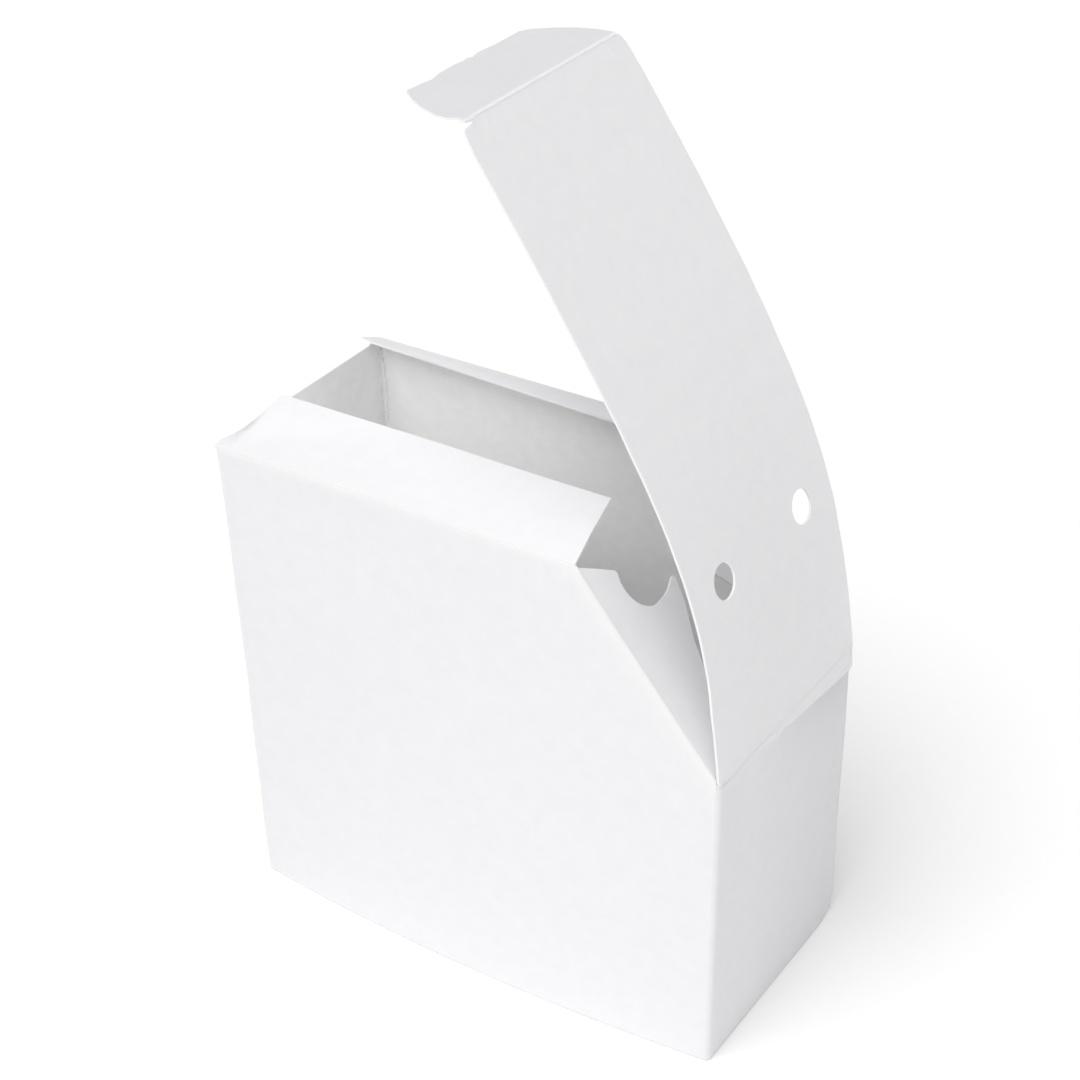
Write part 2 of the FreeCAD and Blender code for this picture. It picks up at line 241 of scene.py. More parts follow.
def near(distance, reach):
    """1 on a line, falling to 0 at the reach from it."""
    return max(0.0, 1 - abs(distance) / reach) ** 2


BROAD_COLUMNS, END_COLUMNS, CORNER_STEPS = 68, 32, 8


def wall_columns():
    """Where the columns of the wall band stand, anticlockwise: x, y, the way they face, and how
    near they are to the crease of a corner."""
    flat_x = half_width - CORNER_ROUND
    flat_y = half_depth - CORNER_ROUND
    broad = [-flat_x + 2 * flat_x * k / BROAD_COLUMNS for k in range(1, BROAD_COLUMNS)]
    broad = sorted(broad + [shoulder_x])
    end = [-flat_y + 2 * flat_y * k / END_COLUMNS for k in range(1, END_COLUMNS)]
    sides = [([(x, -half_depth) for x in broad], (0, -1), (flat_x, -flat_y), -90),
             ([(half_width, y) for y in end], (1, 0), (flat_x, flat_y), 0),
             ([(x, half_depth) for x in reversed(broad)], (0, 1), (-flat_x, flat_y), 90),
             ([(-half_width, y) for y in reversed(end)], (-1, 0), (-flat_x, -flat_y), 180)]
    columns = []
    for places, facing, centre, start in sides:
        columns += [(x, y, facing[0], facing[1], 0.0) for x, y in places]
        for step in range(CORNER_STEPS + 1):
            turn = math.radians(start + 90 * step / CORNER_STEPS)
            nx, ny = math.cos(turn), math.sin(turn)
            columns.append((centre[0] + CORNER_ROUND * nx, centre[1] + CORNER_ROUND * ny, nx, ny,
                            near(step / CORNER_STEPS - 0.5, 0.6)))
    return columns


def wall_top(x, ny):
    """Height of the crease or cut edge that ends a wall at this place."""
    if abs(ny) < 0.01:
        return rim if x < 0 else lid_joint.z
    top = rim
    if x > shoulder_x:
        top -= (x - shoulder_x) * (rim - short_rim) / SLOPE_SETBACK
    return max(top, lid_joint.z)


def squareness(x, ny):
    """How far square to its top edge the wall goes for each mm of height, less on the slope."""
    return SLOPE_SETBACK / slope_length if x > shoulder_x + 0.1 and abs(ny) > 0.01 else 1.0


# How handling has shifted the corners, as (x, y) in mm at the foot and at the top of each,
# then the shoulder, and the far end of the front wall, which flares out near the rim.
CORNER_SET = {(-1, -1): ((-0.5, -0.8), (-1.1, -1.0)), (1, -1): ((-0.4, -1.3), (0.8, 0.2)),
              (-1, 1): ((0.0, 0.0), (-1.3, 0.6)), (1, 1): ((0.9, 0.2), (1.8, 0.0))}
SHOULDER_SET = -1.1
END_FLARE, FLARE_FROM = 1.1, 120


def settled(x, y, z):
    """How far the board has shifted from square at a place through handling, in mm."""
    along = min(max(x / half_width, -1), 1)
    across = min(max(y / half_depth, -1), 1)
    height = min(max(z / wall_top(x, 1), 0), 1)
    shift = Vector((0, 0, 0))
    for (side_x, side_y), (foot, top) in CORNER_SET.items():
        share = (1 + side_x * along) * (1 + side_y * across) / 4
        for axis in (0, 1):
            shift[axis] += share * (foot[axis] + (top[axis] - foot[axis]) * height)
    front_share = (1 - across) / 2
    swell = math.exp(-((x - shoulder_x) / 38) ** 2 - ((z - rim) / 45) ** 2)
    flare = max(0.0, (z - FLARE_FROM) / 45) ** 1.4 * max(0.0, -along) ** 8
    shift.y += SHOULDER_SET * swell * front_share ** 2
    shift.x -= END_FLARE * flare * front_share ** 2
    return shift


# The line where the lid really folded, as (y, z) from front to back: it runs down towards the
# back, with a nick on the way, and the board above it leans in.
FOLD_LINE = [(-44, 105.0), (-38.8, 104.9), (-8.6, 101.6), (-7.6, 101.2), (-2.6, 102.8), (-1.6, 102.2),
             (44, 97.4)]
NICK_Y = -5
FOLD_LEAN = 0.0585
FRONT_BEAD, REAR_BEAD = 0.22, 0.5
EAR = 3.0


def fold_height(y):
    """Height of the line where the lid really folded."""
    for (y0, z0), (y1, z1) in zip(FOLD_LINE, FOLD_LINE[1:]):
        if y <= y1:
            return z0 + (z1 - z0) * (y - y0) / (y1 - y0)
    return FOLD_LINE[-1][1]


def end_fold(y, z, nx, corner):
    """The fold of the lid in the short end wall: how far the board bulges out, how far its back
    corner sticks out as an ear, and how much painted highlight and wear and how much painted shade it has."""
    above = z - fold_height(y)
    rear = min(1, max(0, (y + 4) / 8))
    behind = min(1.0, max(0.0, (y + 20) / 40))
    bulge = FRONT_BEAD * (1 - rear) * near(above + 0.1, 0.9) + REAR_BEAD * rear * near(above - 0.1, 1.6)
    bulge -= FOLD_LEAN * max(0.0, above)
    ear = EAR * max(0.0, nx) * max(0.0, (y - 28) / 12) ** 2 * min(1, max(0.0, above + 0.8) / 1.6)
    # Painted highlight just above the fold towards the back and at the nick, partly real wear; the corners
    # are paler too.
    lit_and_worn = max(0.6 * corner, 1.6 * near(above - 0.5, 1.0) * behind,
               1.6 * near(y - NICK_Y, 5) * near(above - 0.3, 1.4))
    # Painted shade: darker just under the fold towards the back, and over the end wall below the fold, most
    # at the back.
    shade_paint = near(above + 0.35, 0.55) * (0.15 + 0.4 * max(0, y) / half_depth)
    if above < 0:
        shade_paint += nx * (0.1 + behind * (0.16 + 0.22 * near(above, 28)))
    else:
        shade_paint += nx * 0.02
    return bulge, ear, lit_and_worn, shade_paint


EDGE_ROUND = 1.0
EDGE_ROWS = [0, 0.1, 0.25, 0.5, 0.8, 1.2, 2.0, 3.5]
FOLD_ROWS = [-6.0, -3.5, -2.0, -1.2, -0.8, -0.5, -0.25, 0.0, 0.2, 0.4, 0.7, 1.1]
PLAIN_ROWS, TOP_ROWS = 33, 8


def row_heights(x, y, nx, ny):
    """Heights of the rows of the wall band in one column, closer together near its folds."""
    top = wall_top(x, ny)
    last = EDGE_ROWS[-1]
    if nx > 0.1:
        fold = fold_height(y)
        lower = fold + FOLD_ROWS[0]
        plain = [last + (lower - last) * k / (PLAIN_ROWS + 1) for k in range(1, PLAIN_ROWS + 1)]
        room = top - 0.05 - fold
        near_fold = [fold + (row if row <= 0 else min(row, room * row / 1.2)) for row in FOLD_ROWS]
        start = near_fold[-1]
        return EDGE_ROWS + plain + near_fold + [start + (top - start) * k / TOP_ROWS
                                                for k in range(1, TOP_ROWS + 1)]
    count = PLAIN_ROWS + len(FOLD_ROWS)
    square = squareness(x, ny)
    plain = [last + (top - last - last / square) * k / (count + 1) for k in range(1, count + 1)]
    return EDGE_ROWS + plain + [top - row / square for row in reversed(EDGE_ROWS)]


def turned_in(distance):
    """How far a rounded fold has turned in, at a distance from its end."""
    return EDGE_ROUND - math.sqrt(EDGE_ROUND ** 2 - max(0.0, EDGE_ROUND - distance) ** 2)


COCKLE_HIGH, COCKLE_SWELL = 0.3, 46
CRUSHED_HIGH, CRUSHED_IN = 13, 4.0


def wall_point(x, y, z, nx, ny, corner):
    """A point of the wall band as handling left it, with how much painted highlight and wear and how much
    painted shade it has.
    """
    top = wall_top(x, ny)
    below = (top - z) * squareness(x, ny)
    bow = belly * max(0.0, 1 - (x / half_width) ** 2) * (1 - z / rim)
    cockle = COCKLE_HIGH * wave(x + y, z, COCKLE_SWELL, 3.0) * min(1, z / 20, (top - z) / 20)
    turn = turned_in(z)
    bulge = ear = 0.0
    if nx > 0.1:
        bulge, ear, lit_and_worn, shade_paint = end_fold(y, z, nx, corner)
    else:
        turn = max(turn, turned_in(below) * abs(ny))
        reach = 9.0 if x > shoulder_x - 4 else 4.5
        # Painted highlight in a band along the top edges of the broad walls, wider by the slope, and round
        # the corners, partly wear.
        lit_and_worn = max(0.6 * corner, 1.5 * near(below, reach) * abs(ny))
        # Painted shade: the front wall darker towards its left end and in a line at its foot, and the left
        # corners darker.
        shade_paint = max(0.0, -ny) * (0.05 * (1 - x / half_width) + 0.3 * near(z, 1.2))
        shade_paint += 0.4 * corner * max(0.0, -nx)
    crush = max(0.0, 1 - z / CRUSHED_HIGH) ** 2 * max(0.0, nx) * max(0.0, (y - 24) / 16) ** 2
    spot = Vector((x + nx * (cockle + bulge - turned_in(z)) - crush,
                   y + ny * (bow - turn + cockle) - CRUSHED_IN * crush + ear, z))
    return spot + settled(x, y, z), lit_and_worn, shade_paint


points, highlights_and_wear, painted_shades = [], [], []
columns = wall_columns()
for x, y, nx, ny, corner in columns:
    for z in row_heights(x, y, nx, ny):
        spot, lit_and_worn, shade_paint = wall_point(x, y, z, nx, ny, corner)
        points.append(spot)
        highlights_and_wear.append(lit_and_worn)
        painted_shades.append(shade_paint)
tall = len(points) // len(columns)
faces = []
for c in range(len(columns)):
    after = (c + 1) % len(columns)
    for r in range(tall - 1):
        faces.append((c * tall + r, after * tall + r, after * tall + r + 1, c * tall + r + 1))
wall_band = board_piece("wall_band", points, faces, highlights_and_wear, painted_shades)
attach(wall_band, "carton")
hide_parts("carton_body")


# Cracks in the back corner
# Where the corner was forced, the clay coating inside has cracked along two lines, and the
# white pulp stands up there in short ragged teeth. The lock slits of the lid tear the same way.
random.seed(11)
TOOTH_THICK = 0.12
CRACKS = [(1.0, 0.34, [(-84.75, 38.75, 162.0), (-84.7, 38.8, 152.0), (-84.55, 38.95, 143.0),
                       (-84.75, 38.75, 136.0)]),
          (0.8, 0.42, [(-83.9, 39.2, 162.5), (-83.1, 39.3, 155.0), (-83.0, 39.3, 147.0),
                       (-83.1, 39.3, 135.5)])]


def torn_line(name, line, gap, half_wide, side, out, down):
    """A row of ragged teeth of pulp along a line: each is a small lip that stands out from the
    board and hangs down a little, and side is the direction of its width."""
    points = []
    for a, b in zip(line, line[1:]):
        teeth = max(1, round((b - a).length / gap))
        for k in range(teeth):
            wide = side * half_wide * (0.5 + 0.5 * random.random())
            lip = 0.7 + 0.5 * random.random()
            spot = a.lerp(b, k / teeth) + side * 0.14 * wave(k, a.z, 3, 5.0)
            tip = spot + out * lip + down * lip
            points += [spot - wide, spot + wide, tip + 0.6 * wide, tip - 0.7 * wide]
    count = len(points)
    under = [p - out.cross(side).normalized() * TOOTH_THICK for p in points]
    faces = []
    for k in range(0, count, 4):
        faces += [(k + 3, k + 2, k + 1, k), (k + count, k + 1 + count, k + 2 + count, k + 3 + count)]
        faces += [(k + a, k + b, k + b + count, k + a + count) for a, b in ((0, 1), (1, 2), (2, 3), (3, 0))]
    return pulp_piece(name, points + under, faces)


def pulp_piece(name, points, faces):
    """A small piece of bare pulp, from points in mm."""
    mesh = bpy.data.meshes.new(name)
    mesh.from_pydata([Vector(p) * MM for p in points], [], faces)
    mesh.materials.append(cut_edge)
    piece = bpy.data.objects.new(name, mesh)
    bpy.context.collection.objects.link(piece)
    return piece


for number, (gap, half_wide, line) in enumerate(CRACKS):
    settled_line = [Vector(p) + settled(*p) + Vector((0, 0.15, 0)) for p in line]
    crack = torn_line("corner_crack_%d" % (number + 1), settled_line, gap, half_wide, Vector((1, 0, 0)),
                      Vector((0, -0.95, 0)), Vector((0, 0, -0.4)))
    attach(crack, "carton")


# Flaps round the mouth
# The slope flaps turn in along the slope and hold a half-round notch for the thumb and the
# steam. The front dust flap springs up a little; the back one is a narrow lip. All are
# plain extensions of the broad panels, creased and not glued.
SPACING = 2.2


def inside(point, loop):
    """Whether a flat point lies in a closed loop of them."""
    hit = False
    for a, b in zip(loop, loop[1:] + loop[:1]):
        if (a[1] > point[1]) != (b[1] > point[1]):
            if point[0] < (b[0] - a[0]) * (point[1] - a[1]) / (b[1] - a[1]) + a[0]:
                hit = not hit
    return hit


def divided(loop, spacing):
    """The loop with its long sides divided."""
    made = []
    for a, b in zip(loop, loop[1:] + loop[:1]):
        parts = max(1, round(math.dist(a, b) / spacing))
        for k in range(parts):
            made.append((a[0] + (b[0] - a[0]) * k / parts, a[1] + (b[1] - a[1]) * k / parts))
    return made


def cut_shape(outline, holes=(), spacing=SPACING):
    """Flat points and triangles of a die-cut shape with its holes."""
    loops = [divided(outline, spacing)] + [divided(h, spacing) for h in holes]
    points, edges = [], []
    for loop in loops:
        first = len(points)
        points += loop
        edges += [(first + k, first + (k + 1) % len(loop)) for k in range(len(loop))]
    low_u, high_u = min(p[0] for p in outline), max(p[0] for p in outline)
    low_v, high_v = min(p[1] for p in outline), max(p[1] for p in outline)
    border = list(points)
    for i in range(int((high_u - low_u) / spacing) + 1):
        for j in range(int((high_v - low_v) / spacing) + 1):
            spot = (low_u + (i + 0.5) * spacing, low_v + (j + 0.5) * spacing)
            if not inside(spot, loops[0]) or any(inside(spot, h) for h in loops[1:]):
                continue
            if min(math.dist(spot, b) for b in border) > 0.55 * spacing:
                points.append(spot)
    found = geometry.delaunay_2d_cdt([Vector(p) for p in points], edges, [], 0, 1e-5)
    flat = [tuple(p) for p in found[0]]
    faces = []
    for face in found[2]:
        middle = [sum(flat[k][axis] for k in face) / len(face) for axis in (0, 1)]
        if inside(middle, loops[0]) and not any(inside(middle, h) for h in loops[1:]):
            faces.append(tuple(face))
    return flat, faces


def flap_piece(name, outline, place, crease, holes=(), flip=False, spacing=SPACING, in_carton=True,
               shade_paint=lambda u, v: 0.0):
    """A cut shape folded to its place in the box by a function of its flat position. Other
    functions of it say how much the board is painted paler, as highlight and wear, and greyer, as shade,
    and one on the carton settles."""
    flat, faces = cut_shape(outline, holes, spacing)
    if flip:
        faces = [tuple(reversed(face)) for face in faces]
    points = [Vector(place(u, v)) for u, v in flat]
    if in_carton:
        points = [p + settled(*p) for p in points]
    lit_and_worn = [crease(u, v) for u, v in flat]
    shade_paint_values = [shade_paint(u, v) for u, v in flat]
    return board_piece(name, points, faces, lit_and_worn, shade_paint_values)


# The slope flaps, in mm along the slope (u) and inward from its edge (v). The notch is an arc
# whose far end runs out nearly straight to a small pointed ear.
SLOPE_DROP = 0.5
NOTCH_RADIUS = 9.5
NOTCH_CENTRE = (14.9, 21.75)
NOTCH_STEPS = 16
down_slope = Vector((SLOPE_SETBACK, 0, short_rim - rim)) / slope_length
into_box = Vector((down_slope.z, 0, -down_slope.x))
shoulder = Vector((shoulder_x, 0, rim)) + into_box * SLOPE_DROP
slope_end = slope_length - 1.85
slope_outline = [(0.9, 0.4), (5.9, 8.4), (9.1, 13.2), (10.1, 13.6)]
for k in range(NOTCH_STEPS + 1):
    turn = math.radians(-110 * (1 - k / NOTCH_STEPS))
    slope_outline.append((NOTCH_CENTRE[0] + NOTCH_RADIUS * math.cos(turn),
                          NOTCH_CENTRE[1] + NOTCH_RADIUS * math.sin(turn)))
slope_outline += [(24.3, 25.8), (23.7, 29.1), (22.4, 32.2), (21.9, 33.7), (22.1, 34.5), (23.3, 34.5),
                  (29.5, 32.3), (39.8, 26.0), (slope_end, 13.0), (slope_end, 0.4)]


def slope_place(side, curl):
    """Where the flat points of a slope flap lie; its free side curls into the box."""
    def place(u, v):
        spot = shoulder + down_slope * u + into_box * curl * (v / 31) ** 2
        return (spot.x, side * (half_depth - v), spot.z + 0.12 * wave(u, v, 20, 7.0 + side))
    return place


# Each slope flap's crease is painted lighter: a painted highlight along the fold.
for name, side, curl in (("front_slope_flap", -1, 2.2), ("back_slope_flap", 1, 1.2)):
    slope_flap = flap_piece(name, slope_outline, slope_place(side, curl),
                            lambda u, v: 1.5 * near(v, 2.0), flip=side > 0, spacing=1.8)
    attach(slope_flap, "carton")

# The front dust flap, along the rim (u) and out from its crease (v), sprung up by 12 degrees.
# Its end by the tall wall is cut back in a soft curve, with painted shade along it, and its crease has a
# painted highlight.
DUST_RAISE = math.radians(12.0)
flap_end = shoulder_x + half_width
front_outline = [(0.1, 0.2), (0.05, 3.6), (1.1, 5.4), (2.7, 8.1), (3.2, 10.8), (3.8, 17.6), (4.0, 26.9),
                 (4.7, 27.6), (6.2, 27.8), (120.3, 27.2), (122.5, 13.4), (flap_end + 0.3, 0.2)]


def front_flap_place(u, v):
    """A place on the front dust flap, which waves a little towards its free edge."""
    rise = v * math.sin(DUST_RAISE) + 0.25 * wave(u, v, 50, 1.5) * min(1, v / 10)
    return (u - half_width, v * math.cos(DUST_RAISE) - half_depth, rim - 0.1 + rise)


front_flap = flap_piece("dust_flap_front", front_outline, front_flap_place,
                        lambda u, v: 1.2 * near(v, 2.0),
                        shade_paint=lambda u, v: 0.9 * (u < 4.0) * near(v - 12, 12))
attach(front_flap, "carton")
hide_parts("front_dust_flap")
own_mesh(front_flap)

# The back dust flap is a lip that widens from the tall wall, folded nearly flat, painted grey all over as
# shade, with a painted highlight along its crease.
LIP_PAINTED_SHADE = 0.17
back_outline = [(1.0, 0.3), (-2.6, 5.0), (-2.2, 5.5), (1.5, 6.0), (95, 10.6), (118, 11.7),
                (flap_end - 0.4, 0.3)]


def back_flap_place(u, v):
    """A place on the back lip, which rises over the round of its crease and then lies level."""
    rise = 0.6 + 1.3 * min(1, v / 5) + 0.15 * wave(u, v, 60, 4.5)
    return (u - half_width, half_depth - v, rim + rise)


back_flap = flap_piece("dust_flap_back", back_outline, back_flap_place, lambda u, v: near(v, 1.6),
                       flip=True, shade_paint=lambda u, v: LIP_PAINTED_SHADE)
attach(back_flap, "carton")
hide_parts("back_dust_flap")
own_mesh(back_flap)


# Lid
# One long strip of the same board, scored on the short end wall. It bows as it stands up,
# and has two punched steam vents near the score and a short slit at each end of the far
# score, where the tuck flap locks.
LID_START = 93.35
lid_shoulder = slope_length + 0.15
LID_LENGTH = lid_shoulder + half_width + shoulder_x - 2.85
LID_LEAN = 1.6
FOOT_LENGTH = 45

# The bow as turns in degrees over lengths in mm, and how far the board stands out from it, at
# distances from the score.
LID_BOWS = [(18.85, lid_shoulder), (9.65, 32.2), (0.0, LID_LENGTH - lid_shoulder - 32.2)]
LID_STAND = [(0, 0), (9, 0.1), (22, 0.4), (35, 0.9), (48, 1.1), (62, 0.85), (75, 0.5), (88, 0.2),
             (100, 0.2), (113, 0.8), (125, 1.15), (150, 1.15), (163, 0.95), (176, 0.55), (190, 0.2),
             (200, 0.0)]


def along_lid(distance):
    """Middle of the board and its heading in degrees, at a distance from the lid's score."""
    x, z, heading = lid_joint.x, lid_joint.z, LID_START
    for turn, length in LID_BOWS:
        step = min(distance, length)
        bend = turn * step / length
        chord = heading + bend / 2
        reach = step if not turn else 2 * math.sin(math.radians(bend) / 2) * length / math.radians(turn)
        x += reach * math.cos(math.radians(chord))
        z += reach * math.sin(math.radians(chord))
        heading += bend
        distance -= step
        if distance <= 0:
            break
    return x, z, heading


def lid_place(u, v):
    """A place on the outer face of the lid, from its distances along and across the strip."""
    x, z, heading = along_lid(max(u, 0.0))
    out = math.radians(heading - 90)
    lift = BOARD / 2 + 0.25 * wave(u, v, 60, 9.0) * min(1, max(0, u) / 30, (LID_LENGTH + 4 - u) / 20)
    for (u0, stand0), (u1, stand1) in zip(LID_STAND, LID_STAND[1:]):
        if u0 <= u < u1:
            share = (u - u0) / (u1 - u0)
            lift += stand0 + (stand1 - stand0) * share * share * (3 - 2 * share)
    foot = max(0.0, 1 - u / FOOT_LENGTH) ** 2
    shift = settled(half_width, v, lid_joint.z) * foot
    shift.x -= FOLD_LEAN * (lid_joint.z - fold_height(v)) * foot
    return Vector((x + lift * math.cos(out), v + LID_LEAN * u / LID_LENGTH,
                   z + lift * math.sin(out))) + shift


# The strip is a little narrower towards its middle and its far end, with clipped corners.
lid_half = half_depth + 0.45
lid_outline = [(0.0, -lid_half + 1.6), (0.4, -lid_half + 0.7), (1.8, -lid_half), (22, -lid_half + 0.3),
               (36, -lid_half + 1.2), (60, -lid_half + 1.5), (90, -lid_half + 1.2), (130, -lid_half + 0.7),
               (LID_LENGTH - 8, -lid_half + 0.6), (LID_LENGTH - 2.6, -lid_half + 1.1),
               (LID_LENGTH - 1.8, -lid_half + 1.9), (LID_LENGTH - 1.4, -34.0), (LID_LENGTH, -33.0),
               (LID_LENGTH, 36.0), (LID_LENGTH - 0.4, 37.3), (LID_LENGTH - 3.0, 38.5),
               (LID_LENGTH - 12, lid_half - 0.9), (LID_LENGTH - 45, lid_half), (40, lid_half + 0.2),
               (24, lid_half + 0.9), (0.0, lid_half + 1.0)]

VENT_RADIUS, VENT_STEPS = 5.2, 48
VENT_DISTANCE, VENT_SPACING, VENT_SHIFT = 55.9, 45.1, 0.6


def vent(side):
    """The outline of one punched vent hole."""
    turns = [2 * math.pi * k / VENT_STEPS for k in range(VENT_STEPS)]
    return [(VENT_DISTANCE + VENT_RADIUS * math.cos(t),
             VENT_SHIFT + side * VENT_SPACING / 2 + VENT_RADIUS * math.sin(t)) for t in turns]


# The slits turn down from the ends of the far score, with torn fibre along them.
SLIT_LONG = 3.4


def lid_highlight_and_wear(u, v):
    """How much the lid is painted paler, as highlight and wear: along the cracked score of the tuck flap
    and beside the slits.
    """
    score = LID_LENGTH - 1.5 + 0.8 * (v + 33) / 66
    down = (LID_LENGTH - 1.2 - u) / SLIT_LONG
    slit = near(abs(v) - 30.0 - 0.7 * down, 0.9) * (1 - 0.5 * down) if 0 <= down <= 1 else 0.0
    return max(0.6 * near(u - score, 1.0), slit)


lid = flap_piece("lid_strip", lid_outline, lid_place, lid_highlight_and_wear, holes=[vent(side) for side in (-1, 1)],
                 flip=True, spacing=1.8, in_carton=False)
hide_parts("lid_slope_panel", "lid_top_panel")
BLEND_REACH = 14
blend_from = along_lid(lid_shoulder - BLEND_REACH)
blend_to = along_lid(lid_shoulder + BLEND_REACH)
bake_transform(lid)

for number, end in enumerate((-1, 1)):
    slit = [lid_place(LID_LENGTH - 0.9 - SLIT_LONG * k / 4, end * (29.8 + 1.6 * (k / 4) ** 2) + 1.2)
            for k in range(5)]
    torn = torn_line("lock_slit_%d" % (number + 1), slit, 0.7, 0.3, Vector((0, 1, 0)),
                     Vector((0.212, 0, 0.34)), Vector((0, 0, -0.25)))
    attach(torn, "lid_upper")


# Tuck flap
# The tongue that slides in behind the tall end wall, with a die-cut edge that is a little
# ragged. Its score has cracked along its length, so a thin broken ridge of pulp shows there.
# The tongue is painted greyer beyond its score: painted shade.
TUCK_PAINTED_SHADE = 0.36
tuck_outline = [(0.0, -33.2), (-0.9, -34.2), (-1.2, -35.0), (-1.1, -36.0), (-0.6, -37.4), (0.3, -37.6),
                (1.6, -36.6), (2.6, -36.6), (4.8, -37.6), (8.3, -37.5), (14.6, -35.0), (19.9, -31.7),
                (24.6, -27.7), (24.6, -26.6), (24.0, -20.8), (23.4, -17.7), (24.3, -14.2), (24.6, -5.8),
                (24.1, -2.1), (24.4, -0.6), (23.6, 1.5), (24.4, 4.4), (23.9, 12.5), (24.0, 24.2),
                (22.0, 27.5), (17.0, 31.2), (11.3, 34.8), (6.2, 36.5), (0.3, 36.9), (0.0, 36.0)]


def tuck_place(u, v):
    """A place on the tongue, level with a slight curl, from its distances out and across."""
    curl = 0.35 * wave(u, v, 34, 12.0) * min(1, max(0, u) / 6)
    return (tuck_joint.x - u, v + LID_LEAN, tuck_joint.z + BOARD / 2 + curl)


tuck = flap_piece("tuck_tongue", tuck_outline, tuck_place, lambda u, v: 0.0, flip=True, spacing=1.6,
                  in_carton=False, shade_paint=lambda u, v: TUCK_PAINTED_SHADE * min(1, max(0, u) / 0.9))
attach(tuck, "tuck")
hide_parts("tuck_flap")

SCORE_RADIUS, SCORE_OUT = 0.41, 0.1
SCORE_START, SCORE_LONG = -33.0, 69.0
SCORE_STEPS, SCORE_SIDES = 64, 10
points, faces = [], []
for k in range(SCORE_STEPS + 1):
    v = SCORE_START + SCORE_LONG * k / SCORE_STEPS
    for turn in range(SCORE_SIDES):
        angle = 2 * math.pi * turn / SCORE_SIDES
        thick = SCORE_RADIUS * (1 + 0.22 * wave(v, turn * 2.0, 1.6, 3.0))
        points.append((tuck_joint.x + SCORE_OUT + thick * math.cos(angle), v + LID_LEAN,
                       tuck_joint.z + thick * math.sin(angle)))
for k in range(SCORE_STEPS):
    ring, following = k * SCORE_SIDES, (k + 1) * SCORE_SIDES
    for turn in range(SCORE_SIDES):
        after = (turn + 1) % SCORE_SIDES
        faces.append((ring + turn, following + turn, following + after, ring + after))
faces += [tuple(range(SCORE_SIDES)), tuple(reversed(range(SCORE_STEPS * SCORE_SIDES, len(points))))]
tuck_score = pulp_piece("tuck_score", points, faces)
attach(tuck_score, "tuck")


# Bottom flaps and glue tab
# The box is closed underneath by a front flap lapped over the back one, and the band of
# walls is glued by a tab inside the short end wall. They are the same board.
OUTER_REACH, INNER_REACH = 48.0, 58.0
TAB_WIDTH = 14.0
BOTTOM_STEPS = 24


def bottom_outline(side, reach):
    """A bottom flap from above: bellied where it joins its panel, its free corners clipped."""
    edge = []
    for k in range(BOTTOM_STEPS + 1):
        x = (half_width - 1.0) * (2 * k / BOTTOM_STEPS - 1)
        edge.append((x, side * (half_depth - 0.5 + belly * (1 - (x / half_width) ** 2))))
    free = side * (half_depth - reach)
    return edge + [(half_width - 0.4, free + side * 4), (half_width - 4.4, free),
                   (4.4 - half_width, free), (0.4 - half_width, free + side * 4)]


for name, side, reach, height in (("bottom_flap_outer", -1, OUTER_REACH, 0.0),
                                  ("bottom_flap_inner", 1, INNER_REACH, BOARD)):
    bottom = flap_piece(name, bottom_outline(side, reach), lambda u, v, height=height: (u, v, height),
                        lambda u, v: 0.0, flip=True, spacing=5.0)
    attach(bottom, "carton")

tab_outline = [(half_depth - 1.2, 3.0), (half_depth - 1.2, short_rim - 3.0),
               (half_depth - TAB_WIDTH, short_rim - 7.0), (half_depth - TAB_WIDTH, 7.0)]
tab = flap_piece("glue_tab", tab_outline, lambda u, v: (half_width - BOARD, u, v), lambda u, v: 0.0,
                 spacing=5.0)
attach(tab, "carton")


# Camera
# The view of the photograph: from the front right and above, with a long lens, rolled a
# little. The distances are in mm from the middle of the box.
AZIMUTH, ELEVATION, ROLL = (math.radians(a) for a in (33.95, 32.41, -1.74))
DISTANCE, SHIFT_RIGHT, SHIFT_UP = 693.29, 1.59, 48.1
LENS_MM, SENSOR_MM = 73.56, 36.0
back = Vector((math.sin(AZIMUTH) * math.cos(ELEVATION), -math.cos(AZIMUTH) * math.cos(ELEVATION),
               math.sin(ELEVATION)))
right = Vector((math.cos(AZIMUTH), math.sin(AZIMUTH), 0))
up = back.cross(right)
middle = Vector((-0.3, 0, 80))
camera_data = bpy.data.cameras.new("camera")
camera_data.lens = LENS_MM
camera_data.sensor_width = SENSOR_MM
camera = bpy.data.objects.new("camera", camera_data)
bpy.context.collection.objects.link(camera)
turned_right = right * math.cos(ROLL) + up * math.sin(ROLL)
turned_up = up * math.cos(ROLL) - right * math.sin(ROLL)
spot = (middle + back * DISTANCE + right * SHIFT_RIGHT + up * SHIFT_UP) * MM
turned = Matrix((turned_right, turned_up, back)).transposed().to_4x4()
camera.matrix_world = Matrix.Translation(spot) @ turned
bpy.context.scene.camera = camera


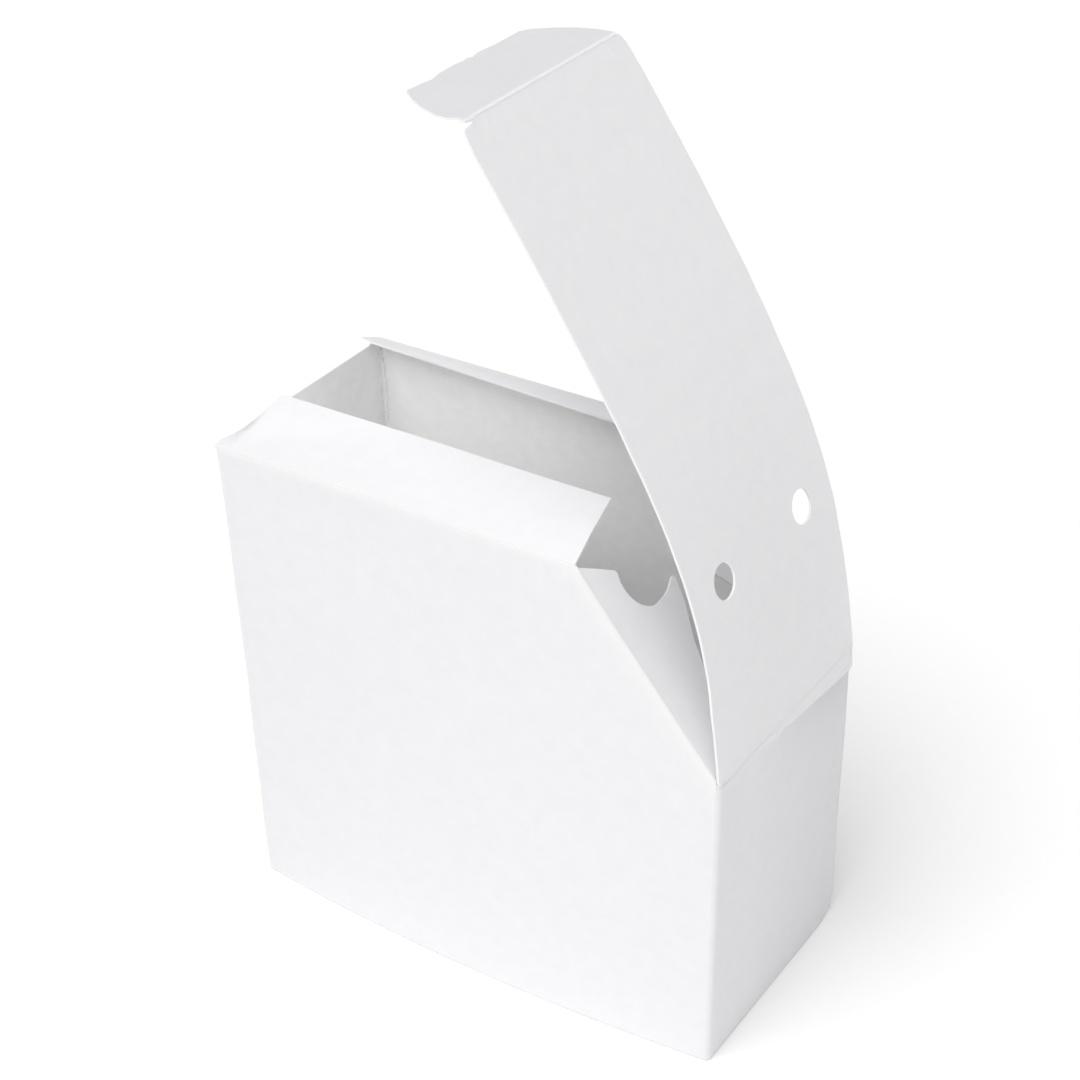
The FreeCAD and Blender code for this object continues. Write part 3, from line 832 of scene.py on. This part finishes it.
# Floor
# A matt white studio floor, 20 m each way, with a trace of its own light so that it stays
# white.
FLOOR_REACH = 20
floor_mesh = bpy.data.meshes.new("floor")
floor_mesh.from_pydata([(-FLOOR_REACH, -FLOOR_REACH, 0), (FLOOR_REACH, -FLOOR_REACH, 0),
                        (FLOOR_REACH, FLOOR_REACH, 0), (-FLOOR_REACH, FLOOR_REACH, 0)], [], [(0, 1, 2, 3)])
floor = bpy.data.objects.new("floor", floor_mesh)
bpy.context.collection.objects.link(floor)
floor_paint = bpy.data.materials.new("matt white studio floor")
floor_paint.use_nodes = True
floor_shader = floor_paint.node_tree.nodes["Principled BSDF"]
floor_shader.inputs["Base Color"].default_value = linear("FEFEFE")
floor_shader.inputs["Roughness"].default_value = 1.0
floor_shader.inputs["Specular IOR Level"].default_value = 0.0
floor_shader.inputs["Emission Color"].default_value = linear("FFFFFF")
floor_shader.inputs["Emission Strength"].default_value = 0.05
floor_mesh.materials.append(floor_paint)


# Light
# A pale sky and a broad soft key from the front left and above. A small unseen panel, sized
# in metres, under the front dust flap lifts the inner back wall, which is lighter in the
# photograph than these two alone make it.
SKY, KEY, KEY_SPREAD = 0.45, 1.86, math.radians(50)
FILL_WIDE, FILL_TALL, FILL_RADIANCE = 0.080, 0.014, 2.3
world = bpy.data.worlds.new("studio")
world.use_nodes = True
world.node_tree.nodes["Background"].inputs["Color"].default_value = linear("FFFFFF")
world.node_tree.nodes["Background"].inputs["Strength"].default_value = SKY
bpy.context.scene.world = world

key_data = bpy.data.lights.new("key", "SUN")
key_data.energy = KEY
key_data.angle = KEY_SPREAD
key = bpy.data.objects.new("key", key_data)
key.rotation_euler = Vector((-0.05, -0.42, 0.905)).to_track_quat("Z", "Y").to_euler()
bpy.context.collection.objects.link(key)

fill_data = bpy.data.lights.new("fill under the front flap", "AREA")
fill_data.shape = "RECTANGLE"
fill_data.size = FILL_WIDE
fill_data.size_y = FILL_TALL
fill_data.energy = math.pi * FILL_WIDE * FILL_TALL * FILL_RADIANCE
fill = bpy.data.objects.new("fill under the front flap", fill_data)
fill.location = Vector((-42, -18, 156)) * MM
fill.rotation_euler = Vector((0.4, -0.9, -0.05)).to_track_quat("Z", "Y").to_euler()
fill.visible_camera = False
bpy.context.collection.objects.link(fill)
bpy.context.scene.view_settings.view_transform = "Standard"
